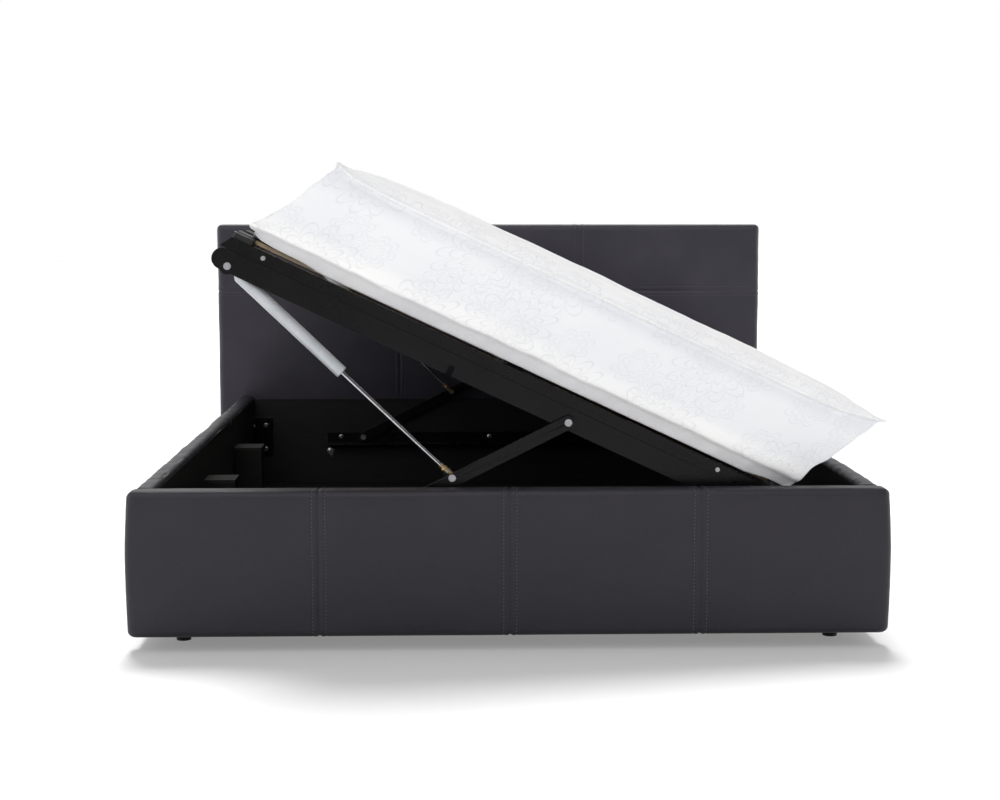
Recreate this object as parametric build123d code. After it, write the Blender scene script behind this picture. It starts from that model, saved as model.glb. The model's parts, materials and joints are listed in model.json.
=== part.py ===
from build123d import *
import math
import os

# Side-lift ottoman bed, drawn open. Millimetres. X runs across the bed, seen from the foot end,
# Y from foot to head, Z up. The origin is on the floor under the middle of the bed.

# Box of the bed
BED_LENGTH = 2070
RIM_HEIGHT = 350
FLOOR_GAP = 31
FOOT_PANEL_WIDTH = 1646
FOOT_PANEL_THICKNESS = 58
RAIL_THICKNESS = 44
RAIL_INSET = 12
HEADBOARD_WIDTH = 1764
HEADBOARD_HEIGHT = 902
HEADBOARD_THICKNESS = 80
HEAD_END_THICKNESS = 18

# Upholstery
PADDING = 11
HEADBOARD_PADDING = 34
LINING_THICKNESS = 3
PANEL_CORNER_RADIUS = 9
HEADBOARD_CORNER_RADIUS = 16
SEAM_RADIUS = 3
FOOT_SEAM_PITCH = 411
HEADBOARD_SEAM_PITCH = 585
HEADBOARD_SEAM_HEIGHT = 690

# Storage floor and feet
BEARER_HEIGHT = 30
BEARER_WIDTH = 40
BEARER_COUNT = 4
BEARER_END_GAP = 42
FLOOR_BOARD_THICKNESS = 6
FLOOR_BOARD_COUNT = 3
FOOT_RADIUS = 19
FOOT_TIP_RADIUS = 16
FOOT_SIDE_INSET = 47

# Blocks that the closed platform lands on
REST_BLOCK_REACH = 80
REST_BLOCK_LENGTH = 91
REST_BLOCK_STARTS = (800, 1428)
REST_PAD_THICKNESS = 5
SLEEPING_RAIL_HEIGHT = 257
REST_GAP = 0.3

# Corner brackets and their bolts
BRACKET_LEG = 60
BRACKET_HEIGHT = 130
BRACKET_BOTTOM = 150
BRACKET_BOLT_REACH = 37
BRACKET_BOLT_MARGIN = 26
STEEL_THICKNESS = 3
BOLT_HEAD_RADIUS = 8
BOLT_HEAD_HEIGHT = 4
BOLT_RIM_SHARE = 0.33
BOLT_CROWN_SHARE = 0.6
BOLT_RADIUS = 4
BOLT_DEPTH = 20
HEADBOARD_BOLT_RADIUS = 14.5
HEADBOARD_BOLT_X = 519
HEADBOARD_BOLT_Z = 165

# Lift linkage, seen from the foot end
ARM_PIVOT_X = -412.2
ARM_PIVOT_Z = 215.6
ARM_LENGTH = 604.6
ARM_OPEN_ANGLE = 26.67
ARM_WIDTH = 30
ARM_THICKNESS = 5
PLATFORM_TILT = 25.13
PLATFORM_ARM_PIVOT_U = 808
PLATFORM_ARM_PIVOT_DROP = 25
STRUT_PIVOT_DROP = 29
STRUT_ARM_REACH = 325
STRUT_ARM_OFFSET = 6
LINK_PIVOT_U = 1170
LINK_WIDTH = 28
BASE_RAIL_BOTTOM = 195
BASE_RAIL_TOP = 231
BASE_RAIL_START = -530
BASE_RAIL_END_MARGIN = 45
PIVOT_RADIUS = 5
PIVOT_CLEARANCE = 0.05
PIVOT_HEAD_RADIUS = 9
PIVOT_HEAD_HEIGHT = 3
SPACER_RADIUS = 8

# Depths of the linkage layers, measured inwards from the end wall that carries them
BASE_SPACER_DEPTH = 5
UPPER_SPACER_DEPTH = 4
UPPER_RAIL_THICKNESS = 4
STRUT_CENTRE_GAP = 17
OPEN_PIVOT_GAP = 0.3

# Platform
UPPER_RAIL_HEIGHT = 47
UPPER_RAIL_LIP = 5
UPPER_RAIL_FLANGE = 32
UPPER_RAIL_TIP = 40
NOTCH_MARGIN = 2.5
STRUT_WASHER_RADIUS = 18
STRUT_WASHER_THICKNESS = 1
PLATFORM_WIDTH = 1334
PLATFORM_START = -17
TUBE_HEIGHT = 32
TUBE_WIDTH = 30
TUBE_WALL = 2
TUBE_CORNER_RADIUS = 4
STRIP_LENGTH = 1216
STRIP_THICKNESS = 3
STRIP_SLANT = 17
SCREW_RADIUS = 3
SCREW_HEAD_RADIUS = 5
STRIP_SCREW_INSET = 79
STRIP_SCREW_END_INSET = 49
SLATS_PER_ROW = 13
SLAT_WIDTH = 63
SLAT_THICKNESS = 8
SLAT_EDGE_RADIUS = 3
HOLDER_HEIGHT = 14
HOLDER_WIDTH = 72
HOLDER_DEPTH = 44
HOLDER_FLOOR = 3.5
HOLDER_CLEARANCE = 0.3
SLAT_GRIP = 32
CORNER_CAP_SIZE = 46
CORNER_CAP_HEIGHT = 12
REST_TAB_REACH = 83
REST_TAB_WIDTH = 46
REST_TAB_THICKNESS = 4

# Gas struts
CYLINDER_RADIUS = 14
CYLINDER_LENGTH = 335
CYLINDER_NECK_RADIUS = 8
STRUT_EYE_RADIUS = 12
STRUT_STUD_RADIUS = 6
CYLINDER_WALL = 1.5
CYLINDER_GUIDE_LENGTH = 18
ROD_RADIUS = 5
ROD_INSERTION = 45
PISTON_LENGTH = 12
PISTON_CLEARANCE = 0.3
SOCKET_RADIUS = 8
SOCKET_LENGTH = 36
SOCKET_NOSE = 2
SOCKET_COLLAR_LENGTH = 9
SOCKET_COLLAR_STEP = 1.5
CLIP_RADIUS = 9
CLIP_WIDTH = 3
CLIP_INSET = 20

# Mattress
MATTRESS_WIDTH = 1306
MATTRESS_END_GAP = 12
MATTRESS_SIDE_INSET = 26
MATTRESS_THICKNESS = 225
MATTRESS_LEAN = 118
MATTRESS_CROWN = 22
MATTRESS_DRAW_IN = 5
MATTRESS_END_DROP = 10
MATTRESS_SHOULDER = 0.12
MATTRESS_SHOULDER_DROP = 0.3

# Places worked out from the sizes above
FOOT_FACE = -BED_LENGTH / 2
NEAR_WALL = FOOT_FACE + FOOT_PANEL_THICKNESS
HEADBOARD_FACE = BED_LENGTH / 2 - HEADBOARD_THICKNESS
FAR_WALL = HEADBOARD_FACE - HEAD_END_THICKNESS
PANEL_HEIGHT = RIM_HEIGHT - FLOOR_GAP
RAIL_OUTER_X = FOOT_PANEL_WIDTH / 2 - RAIL_INSET
RAIL_INNER_X = RAIL_OUTER_X - RAIL_THICKNESS
BEARER_TOP = FLOOR_GAP + BEARER_HEIGHT
FLOOR_TOP = BEARER_TOP + FLOOR_BOARD_THICKNESS
REST_TOP = SLEEPING_RAIL_HEIGHT - REST_TAB_THICKNESS - REST_GAP

ARM_OUTER = STEEL_THICKNESS + BASE_SPACER_DEPTH
ARM_INNER = ARM_OUTER + ARM_THICKNESS
UPPER_OUTER = ARM_INNER + UPPER_SPACER_DEPTH
UPPER_INNER = UPPER_OUTER + UPPER_RAIL_THICKNESS
STRUT_DEPTH = UPPER_INNER + STRUT_CENTRE_GAP
STRIP_OUTER = UPPER_OUTER + STRIP_THICKNESS
TUBE_OUTER = STRIP_OUTER + STRIP_THICKNESS
TUBE_INNER = TUBE_OUTER + TUBE_WIDTH
STRUT_ARM_ANGLE = math.degrees(math.asin(STRUT_ARM_OFFSET / STRUT_ARM_REACH))
CLOSED_PIVOT_RISE = SLEEPING_RAIL_HEIGHT - PLATFORM_ARM_PIVOT_DROP - ARM_PIVOT_Z
ARM_CLOSED_ANGLE = math.degrees(math.asin(CLOSED_PIVOT_RISE / ARM_LENGTH))
SIDES = ("near", "far")


def turned(length, angle):
    """A point at this distance and angle from a pivot, as (x, z)."""
    return length * math.cos(math.radians(angle)), length * math.sin(math.radians(angle))


def shifted(start, step):
    return start[0] + step[0], start[1] + step[1]


def platform_origin(arm_angle, tilt):
    """Where the platform's own origin is for an arm angle and a tilt, as (x, z)."""
    pivot = shifted((ARM_PIVOT_X, ARM_PIVOT_Z), turned(ARM_LENGTH, arm_angle))
    along = turned(PLATFORM_ARM_PIVOT_U, -tilt)
    up = turned(PLATFORM_ARM_PIVOT_DROP, 90 - tilt)
    return pivot[0] - along[0] + up[0], pivot[1] - along[1] + up[1]


def on_platform(u, v, arm_angle=ARM_OPEN_ANGLE, tilt=PLATFORM_TILT):
    """The (x, z) of a platform point, u along the platform and v square to it."""
    return shifted(shifted(platform_origin(arm_angle, tilt), turned(u, -tilt)), turned(v, 90 - tilt))


ARM_PIVOT = (ARM_PIVOT_X, ARM_PIVOT_Z)
PLATFORM_PIVOT = on_platform(PLATFORM_ARM_PIVOT_U, -PLATFORM_ARM_PIVOT_DROP)
STRUT_TOP = on_platform(0, -STRUT_PIVOT_DROP)
STRUT_TOP_CLOSED = on_platform(0, -STRUT_PIVOT_DROP, ARM_CLOSED_ANGLE, 0)
STRUT_FOOT = shifted(ARM_PIVOT, turned(STRUT_ARM_REACH, ARM_OPEN_ANGLE + STRUT_ARM_ANGLE))
STRUT_FOOT_CLOSED = shifted(ARM_PIVOT, turned(STRUT_ARM_REACH, ARM_CLOSED_ANGLE + STRUT_ARM_ANGLE))
LINK_TOP = on_platform(LINK_PIVOT_U, -PLATFORM_ARM_PIVOT_DROP)
LINK_TOP_CLOSED = on_platform(LINK_PIVOT_U, -PLATFORM_ARM_PIVOT_DROP, ARM_CLOSED_ANGLE, 0)


def link_foot():
    """The point at the arm pivot's height that is as far from the link's open top as from its closed one."""
    (x0, z0), (x1, z1) = LINK_TOP, LINK_TOP_CLOSED
    middle_x, middle_z = (x0 + x1) / 2, (z0 + z1) / 2
    return middle_x - (ARM_PIVOT_Z - middle_z) * (z1 - z0) / (x1 - x0), ARM_PIVOT_Z


LINK_FOOT = link_foot()


def direction(start, end):
    return math.degrees(math.atan2(end[1] - start[1], end[0] - start[0]))


def joint_values():
    """Pivots and travels of the linkage, in degrees and millimetres, for whoever sets up its joints."""
    arm_travel = ARM_OPEN_ANGLE - ARM_CLOSED_ANGLE
    strut_open = direction(STRUT_FOOT, STRUT_TOP)
    strut_closed = direction(STRUT_FOOT_CLOSED, STRUT_TOP_CLOSED) % 360
    return {
        "arm_travel": arm_travel,
        "platform_turn": -(PLATFORM_TILT + arm_travel),
        "link_turn": direction(LINK_FOOT, LINK_TOP) - direction(LINK_FOOT, LINK_TOP_CLOSED),
        "strut_turn": -((strut_closed - strut_open) + arm_travel),
        "strut_stroke": math.dist(STRUT_FOOT, STRUT_TOP) - math.dist(STRUT_FOOT_CLOSED, STRUT_TOP_CLOSED),
        "strut_angle": strut_open,
        "arm_pivot": ARM_PIVOT,
        "platform_pivot": PLATFORM_PIVOT,
        "strut_foot": STRUT_FOOT,
        "strut_top": STRUT_TOP,
        "link_foot": LINK_FOOT,
        "link_top": LINK_TOP,
    }


PLATFORM_PLACE = Pos(platform_origin(ARM_OPEN_ANGLE, PLATFORM_TILT)[0], 0,
                     platform_origin(ARM_OPEN_ANGLE, PLATFORM_TILT)[1]) * Rot(0, PLATFORM_TILT, 0)

pieces = {}


def block(x, y, z):
    """A box from its low and high limits on each axis."""
    low = (x[0], y[0], z[0])
    return Pos(*low) * Box(x[1] - x[0], y[1] - y[0], z[1] - z[0], align=(Align.MIN, Align.MIN, Align.MIN))


def group(solids):
    return Compound(children=list(solids))


def depths(side, outer, inner):
    """The low and high Y of a layer that lies between two depths from an end wall."""
    if side == "near":
        return NEAR_WALL + outer, NEAR_WALL + inner
    return FAR_WALL - inner, FAR_WALL - outer


def plate(outline, side, outer, inner):
    """A flat outline drawn in X and Z, as thick as its layer."""
    low, high = depths(side, outer, inner)
    return extrude(Pos(0, low, 0) * (Plane.XZ * outline), amount=high - low, dir=(0, 1, 0))


def pin(point, radius, side, outer, inner):
    return plate(Pos(*point) * Circle(radius), side, outer, inner)


def bar_outline(start, end, width):
    """A flat bar with round ends between two pivots."""
    middle = ((start[0] + end[0]) / 2, (start[1] + end[1]) / 2)
    return Pos(*middle) * Rot(0, 0, direction(start, end)) * SlotCenterToCenter(math.dist(start, end), width)


def bolt(axis, seat, depth=BOLT_DEPTH, head=BOLT_HEAD_RADIUS):
    """A domed bolt with its head on a seat, its shank running back along the axis given."""
    rim = (head, BOLT_HEAD_HEIGHT * BOLT_RIM_SHARE)
    crown = (head * BOLT_CROWN_SHARE, BOLT_HEAD_HEIGHT)
    profile = Polyline((0, -depth), (BOLT_RADIUS, -depth), (BOLT_RADIUS, 0), (head, 0), rim, crown,
                       (0, BOLT_HEAD_HEIGHT), close=True)
    return Plane(origin=seat, z_dir=axis) * revolve(Plane.XZ * make_face(profile), Axis.Z)


def add_foot_panel(bolts):
    """Upholstered foot panel: padded cover with seams, board inside, lining on the box side."""
    half = FOOT_PANEL_WIDTH / 2
    outer = block((-half, half), (FOOT_FACE, NEAR_WALL - LINING_THICKNESS), (FLOOR_GAP, RIM_HEIGHT))
    front = outer.edges().filter_by(lambda e: abs(e.center().Y - FOOT_FACE) < 1)
    outer = fillet(front, PANEL_CORNER_RADIUS)
    board = block((-half + PADDING, half - PADDING), (FOOT_FACE + PADDING, NEAR_WALL - LINING_THICKNESS),
                  (FLOOR_GAP + PADDING, RIM_HEIGHT - PADDING))
    upright = Cylinder(SEAM_RADIUS, PANEL_HEIGHT, align=(Align.CENTER, Align.CENTER, Align.MIN))
    seams = [Pos(index * FOOT_SEAM_PITCH, FOOT_FACE, FLOOR_GAP) * upright for index in (-1, 0, 1)]
    pieces["foot_panel_cover"] = outer - board - seams
    pieces["foot_panel_board"] = board - bolts
    pieces["foot_panel_lining"] = block((-half + PADDING, half - PADDING), (NEAR_WALL - LINING_THICKNESS, NEAR_WALL),
                                        (FLOOR_GAP + PADDING, RIM_HEIGHT - PADDING)) - bolts


def add_side_rail(name, sign, bolts):
    """Upholstered side rail between the foot panel and the headboard."""
    outer_x, lining_x, inner_x = RAIL_OUTER_X, RAIL_INNER_X + LINING_THICKNESS, RAIL_INNER_X
    cover = block((lining_x, outer_x), (NEAR_WALL, HEADBOARD_FACE), (FLOOR_GAP, RIM_HEIGHT))
    outside = cover.edges().filter_by(Axis.Y).filter_by(lambda e: e.center().X > outer_x - 1)
    cover = fillet(outside, PANEL_CORNER_RADIUS)
    height = (FLOOR_GAP + PADDING, RIM_HEIGHT - PADDING)
    board = block((lining_x, outer_x - PADDING), (NEAR_WALL, HEADBOARD_FACE), height)
    lining = block((inner_x, lining_x), (NEAR_WALL, FAR_WALL), height)
    flip = (lambda shape: shape) if sign > 0 else (lambda shape: mirror(shape, Plane.YZ))
    pieces[f"{name}_rail_cover"] = flip(cover - board)
    pieces[f"{name}_rail_board"] = flip(board) - bolts
    pieces[f"{name}_rail_lining"] = flip(lining) - bolts


def add_headboard(bolts):
    """Headboard: padded, sewn front cover over a board, with a plain back panel."""
    half = HEADBOARD_WIDTH / 2
    back = HEADBOARD_FACE + HEADBOARD_THICKNESS
    lining = back - LINING_THICKNESS
    cover = block((-half, half), (HEADBOARD_FACE, lining), (FLOOR_GAP, HEADBOARD_HEIGHT))
    front = cover.edges().filter_by(lambda e: abs(e.center().Y - HEADBOARD_FACE) < 1)
    cover = fillet(front.filter_by(lambda e: e.center().Z > FLOOR_GAP + 1), HEADBOARD_CORNER_RADIUS)
    board = block((-half + PADDING, half - PADDING), (HEADBOARD_FACE + HEADBOARD_PADDING, lining),
                  (FLOOR_GAP + PADDING, HEADBOARD_HEIGHT - PADDING))
    upright = Cylinder(SEAM_RADIUS, HEADBOARD_HEIGHT, align=(Align.CENTER, Align.CENTER, Align.MIN))
    seams = [Pos(sign * HEADBOARD_SEAM_PITCH / 2, HEADBOARD_FACE, 0) * upright for sign in (-1, 1)]
    seams.append(Pos(0, HEADBOARD_FACE, HEADBOARD_SEAM_HEIGHT) * Rot(0, 90, 0) * Cylinder(SEAM_RADIUS, HEADBOARD_WIDTH))
    pieces["headboard_cover"] = cover - board - seams - bolts
    pieces["headboard_board"] = board - bolts
    pieces["headboard_back_panel"] = block((-half + PADDING, half - PADDING), (lining, back),
                                           (FLOOR_GAP + PADDING, HEADBOARD_HEIGHT - PADDING))
    pieces["head_end_panel"] = block((-RAIL_INNER_X, RAIL_INNER_X), (FAR_WALL, HEADBOARD_FACE),
                                     (FLOOR_GAP + PADDING, RIM_HEIGHT - PADDING)) - bolts


def bearer_starts():
    first = NEAR_WALL + BEARER_END_GAP
    last = FAR_WALL - BEARER_END_GAP - BEARER_WIDTH
    return [first + (last - first) * index / (BEARER_COUNT - 1) for index in range(BEARER_COUNT)]


def add_storage_floor():
    """Floor boards on cross bearers, with a foot at each end of a bearer and under the middle of the inner ones."""
    foot = Cone(FOOT_TIP_RADIUS, FOOT_RADIUS, FLOOR_GAP, align=(Align.CENTER, Align.CENTER, Align.MIN))
    side_x = RAIL_INNER_X - FOOT_SIDE_INSET
    bearers, feet = [], []
    for index, start in enumerate(bearer_starts()):
        bearers.append(block((-RAIL_INNER_X, RAIL_INNER_X), (start, start + BEARER_WIDTH), (FLOOR_GAP, BEARER_TOP)))
        inner = 0 < index < BEARER_COUNT - 1
        for x in (-side_x, 0, side_x) if inner else (-side_x, side_x):
            feet.append(Pos(x, start + BEARER_WIDTH / 2, 0) * foot)
    pieces["floor_bearers"] = group(bearers)
    pieces["feet"] = group(feet)
    pitch = (FAR_WALL - NEAR_WALL) / FLOOR_BOARD_COUNT
    pieces["floor_boards"] = group(
        block((-RAIL_INNER_X, RAIL_INNER_X), (NEAR_WALL + pitch * index, NEAR_WALL + pitch * (index + 1) - REST_GAP),
              (BEARER_TOP, FLOOR_TOP)) for index in range(FLOOR_BOARD_COUNT))


def add_rest_blocks():
    """Two posts on the opening side, each with a rubber pad that the closed platform lands on."""
    x = (-RAIL_INNER_X, -RAIL_INNER_X + REST_BLOCK_REACH)
    posts, pads = [], []
    for start in REST_BLOCK_STARTS:
        y = (FOOT_FACE + start, FOOT_FACE + start + REST_BLOCK_LENGTH)
        posts.append(block(x, y, (FLOOR_TOP, REST_TOP - REST_PAD_THICKNESS)))
        pads.append(block(x, y, (REST_TOP - REST_PAD_THICKNESS, REST_TOP)))
    pieces["rest_blocks"] = group(posts)
    pieces["rest_pads"] = group(pads)


def bracket_bolt_places():
    """Seats and axes of the corner bolts: two on each leg of each bracket."""
    low = BRACKET_BOTTOM + BRACKET_BOLT_MARGIN
    high = BRACKET_BOTTOM + BRACKET_HEIGHT - BRACKET_BOLT_MARGIN
    places = []
    for sign in (-1, 1):
        for wall, inward in ((NEAR_WALL, 1), (FAR_WALL, -1)):
            for z in (low, high):
                on_wall = (sign * (RAIL_INNER_X - BRACKET_BOLT_REACH), wall + inward * STEEL_THICKNESS, z)
                on_rail = (sign * (RAIL_INNER_X - STEEL_THICKNESS), wall + inward * BRACKET_BOLT_REACH, z)
                places.append(((0, inward, 0), on_wall))
                places.append(((-sign, 0, 0), on_rail))
    return places


def span(start, step):
    """The low and high limits of a step away from a start."""
    return min(start, start + step), max(start, start + step)


def add_corner_brackets(bolts):
    """Steel angles that hold the side rails to the end walls."""
    height = (BRACKET_BOTTOM, BRACKET_BOTTOM + BRACKET_HEIGHT)
    brackets = []
    for sign in (-1, 1):
        x = sign * RAIL_INNER_X
        for wall, inward in ((NEAR_WALL, 1), (FAR_WALL, -1)):
            on_wall = block(span(x, -sign * BRACKET_LEG), span(wall, inward * STEEL_THICKNESS), height)
            on_rail = block(span(x, -sign * STEEL_THICKNESS), span(wall, inward * BRACKET_LEG), height)
            brackets.append((on_wall + on_rail) - bolts)
    pieces["corner_brackets"] = group(brackets)


def headboard_bolts():
    """Large domed bolts through the head end panel into the headboard."""
    depth = HEAD_END_THICKNESS + HEADBOARD_PADDING + BOLT_DEPTH
    return [bolt((0, -1, 0), (sign * HEADBOARD_BOLT_X, FAR_WALL, HEADBOARD_BOLT_Z), depth, HEADBOARD_BOLT_RADIUS)
            for sign in (-1, 1)]


def base_rail_bolt_places(side):
    low, high = depths(side, 0, STEEL_THICKNESS)
    seat, axis = (high, (0, 1, 0)) if side == "near" else (low, (0, -1, 0))
    xs = (BASE_RAIL_START + BASE_RAIL_END_MARGIN, 0, LINK_FOOT[0] - BASE_RAIL_END_MARGIN * 2)
    return [(axis, (x, seat, (BASE_RAIL_BOTTOM + BASE_RAIL_TOP) / 2 + STEEL_THICKNESS)) for x in xs]


def add_base_rail(side, bolts):
    """Steel angle on an end wall that carries the arm and the rear link."""
    end = LINK_FOOT[0] + BASE_RAIL_END_MARGIN
    upright = block((BASE_RAIL_START, end), depths(side, 0, STEEL_THICKNESS), (BASE_RAIL_BOTTOM, BASE_RAIL_TOP))
    foot = block((BASE_RAIL_START, end), depths(side, 0, BASE_RAIL_TOP - BASE_RAIL_BOTTOM),
                 (BASE_RAIL_BOTTOM - STEEL_THICKNESS, BASE_RAIL_BOTTOM))
    pins, spacers = [], []
    for point in (ARM_PIVOT, LINK_FOOT):
        shank = pin(point, PIVOT_RADIUS, side, 0, ARM_INNER)
        head = pin(point, PIVOT_HEAD_RADIUS, side, ARM_INNER, ARM_INNER + PIVOT_HEAD_HEIGHT)
        pins.append(shank + head)
        spacer = pin(point, SPACER_RADIUS, side, STEEL_THICKNESS, ARM_OUTER)
        spacers.append(spacer - shank)
    pieces[f"{side}_base_rail"] = upright + foot - pins - bolts
    return pins, spacers


def add_arm(side):
    """Flat steel arm from the base rail to the upper rail, with its two bolts."""
    hole = PIVOT_RADIUS + PIVOT_CLEARANCE
    arm = plate(bar_outline(ARM_PIVOT, PLATFORM_PIVOT, ARM_WIDTH), side, ARM_OUTER, ARM_INNER)
    arm -= pin(ARM_PIVOT, hole, side, 0, UPPER_INNER)
    bolts = []
    for point, end in ((PLATFORM_PIVOT, UPPER_INNER), (STRUT_FOOT, STRUT_DEPTH + SOCKET_RADIUS)):
        shank = pin(point, PIVOT_RADIUS, side, ARM_OUTER, end)
        head = pin(point, BOLT_HEAD_RADIUS, side, ARM_OUTER - BOLT_HEAD_HEIGHT, ARM_OUTER)
        arm -= shank
        bolts.append(shank + head)
    spacer = pin(PLATFORM_PIVOT, SPACER_RADIUS, side, ARM_INNER, UPPER_OUTER)
    spacer -= pin(PLATFORM_PIVOT, PIVOT_RADIUS, side, ARM_OUTER, UPPER_INNER)
    pieces[f"{side}_arm"] = arm
    pieces[f"{side}_arm_bolts"] = group(bolts + [spacer])


def add_link(side):
    """Short rear link with the stud of its upper pivot."""
    hole = PIVOT_RADIUS + PIVOT_CLEARANCE
    link = plate(bar_outline(LINK_FOOT, LINK_TOP, LINK_WIDTH), side, ARM_OUTER, ARM_INNER)
    link -= pin(LINK_FOOT, hole, side, 0, UPPER_INNER)
    stud = pin(LINK_TOP, SPACER_RADIUS, side, ARM_INNER, UPPER_OUTER - OPEN_PIVOT_GAP)
    head = pin(LINK_TOP, BOLT_HEAD_RADIUS, side, ARM_OUTER - BOLT_HEAD_HEIGHT, ARM_OUTER)
    pieces[f"{side}_link"] = link
    pieces[f"{side}_link_stud"] = group([stud, head])


def strut_solid(profile, side):
    """A solid of revolution about the strut's axis from (distance, radius) points."""
    outline = make_face(Polyline(*profile, close=True))
    y = depths(side, STRUT_DEPTH, STRUT_DEPTH)[0]
    x_step, z_step = turned(1, direction(STRUT_FOOT, STRUT_TOP))
    strut_plane = Plane(origin=(STRUT_FOOT[0], y, STRUT_FOOT[1]), x_dir=(x_step, 0, z_step), z_dir=(0, -1, 0))
    return strut_plane * revolve(outline, Axis.X)


def add_strut(side):
    """Gas strut: cylinder with its eye and stud, rod with its piston, brass socket and spring clip."""
    length = math.dist(STRUT_FOOT, STRUT_TOP)
    start = length - CYLINDER_LENGTH
    neck = length - STRUT_EYE_RADIUS * 2
    bore = ROD_RADIUS + PIVOT_CLEARANCE
    inside = CYLINDER_RADIUS - CYLINDER_WALL
    chamber_start = start + CYLINDER_GUIDE_LENGTH
    chamber_end = neck - CYLINDER_NECK_RADIUS
    shell = strut_solid([(start, bore), (start, inside), (start + CYLINDER_WALL, CYLINDER_RADIUS),
                         (chamber_end, CYLINDER_RADIUS), (neck, CYLINDER_NECK_RADIUS), (length, CYLINDER_NECK_RADIUS),
                         (length, 0), (chamber_end, 0), (chamber_end, inside), (chamber_start, inside),
                         (chamber_start, bore)], side)
    eye = pin(STRUT_TOP, STRUT_EYE_RADIUS, side, STRUT_DEPTH - CYLINDER_NECK_RADIUS,
              STRUT_DEPTH + CYLINDER_NECK_RADIUS)
    stud = pin(STRUT_TOP, STRUT_STUD_RADIUS, side, UPPER_INNER + OPEN_PIVOT_GAP, STRUT_DEPTH)
    pieces[f"{side}_strut_cylinder"] = shell + eye + stud
    rod_end = start + ROD_INSERTION
    piston = rod_end - PISTON_LENGTH
    piston_radius = inside - PISTON_CLEARANCE
    pieces[f"{side}_strut_rod"] = strut_solid(
        [(SOCKET_LENGTH, 0), (SOCKET_LENGTH, ROD_RADIUS), (piston, ROD_RADIUS), (piston, piston_radius),
         (rod_end, piston_radius), (rod_end, 0)], side)
    add_strut_socket(side)


def add_strut_socket(side):
    """Brass socket that turns on the arm's bolt, with the spring clip round it."""
    hole = pin(STRUT_FOOT, PIVOT_RADIUS + PIVOT_CLEARANCE, side, UPPER_INNER, STRUT_DEPTH + 2 * SOCKET_RADIUS)
    collar = SOCKET_LENGTH - SOCKET_COLLAR_LENGTH
    collar_radius = SOCKET_RADIUS - SOCKET_COLLAR_STEP
    socket = strut_solid(
        [(-SOCKET_RADIUS, 0), (-SOCKET_RADIUS, SOCKET_RADIUS - SOCKET_NOSE),
         (SOCKET_NOSE - SOCKET_RADIUS, SOCKET_RADIUS),
         (collar - SOCKET_COLLAR_STEP, SOCKET_RADIUS), (collar, collar_radius), (SOCKET_LENGTH, collar_radius),
         (SOCKET_LENGTH, 0)], side)
    pieces[f"{side}_strut_socket"] = socket - hole
    clip_end = SOCKET_LENGTH - CLIP_INSET
    clip_start = clip_end - CLIP_WIDTH
    pieces[f"{side}_strut_clip"] = strut_solid(
        [(clip_start, SOCKET_RADIUS), (clip_start, CLIP_RADIUS), (clip_end, CLIP_RADIUS), (clip_end, SOCKET_RADIUS)],
        side)


def placed(shape):
    return PLATFORM_PLACE * shape


def add_upper_rail(side):
    """Round-ended steel angle under the platform's end tube, with a notch that lets the strut's bolt past."""
    end = PLATFORM_START + PLATFORM_WIDTH
    middle = ((end - UPPER_RAIL_TIP) / 2, UPPER_RAIL_LIP - UPPER_RAIL_HEIGHT / 2)
    outline = Pos(*middle) * SlotOverall(end + UPPER_RAIL_TIP, UPPER_RAIL_HEIGHT)
    notch_u = STRUT_FOOT_CLOSED[0] - platform_origin(ARM_CLOSED_ANGLE, 0)[0]
    notch_v = STRUT_FOOT_CLOSED[1] - SLEEPING_RAIL_HEIGHT
    reach = PIVOT_RADIUS + NOTCH_MARGIN
    outline -= Pos(notch_u, notch_v) * Circle(reach)
    outline -= Pos(notch_u, notch_v - UPPER_RAIL_HEIGHT / 2) * Rectangle(2 * reach, UPPER_RAIL_HEIGHT)
    outline -= Pos(PLATFORM_ARM_PIVOT_U, -PLATFORM_ARM_PIVOT_DROP) * Circle(PIVOT_RADIUS + PIVOT_CLEARANCE)
    web = plate(outline, side, UPPER_OUTER, UPPER_INNER)
    flange = block((PLATFORM_START, end - UPPER_RAIL_HEIGHT / 2),
                   depths(side, UPPER_INNER, UPPER_INNER + UPPER_RAIL_FLANGE), (-UPPER_RAIL_THICKNESS, 0))
    bolt_place = (0, -STRUT_PIVOT_DROP)
    seat = UPPER_OUTER - STRUT_WASHER_THICKNESS
    shank = pin(bolt_place, PIVOT_RADIUS, side, seat, UPPER_INNER)
    pieces[f"{side}_upper_rail"] = placed(web + flange - shank)
    head = pin(bolt_place, BOLT_HEAD_RADIUS, side, seat - PIVOT_HEAD_HEIGHT, seat)
    washer = pin(bolt_place, STRUT_WASHER_RADIUS, side, seat, UPPER_OUTER) - shank
    return placed(head + shank), placed(washer)


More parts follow.
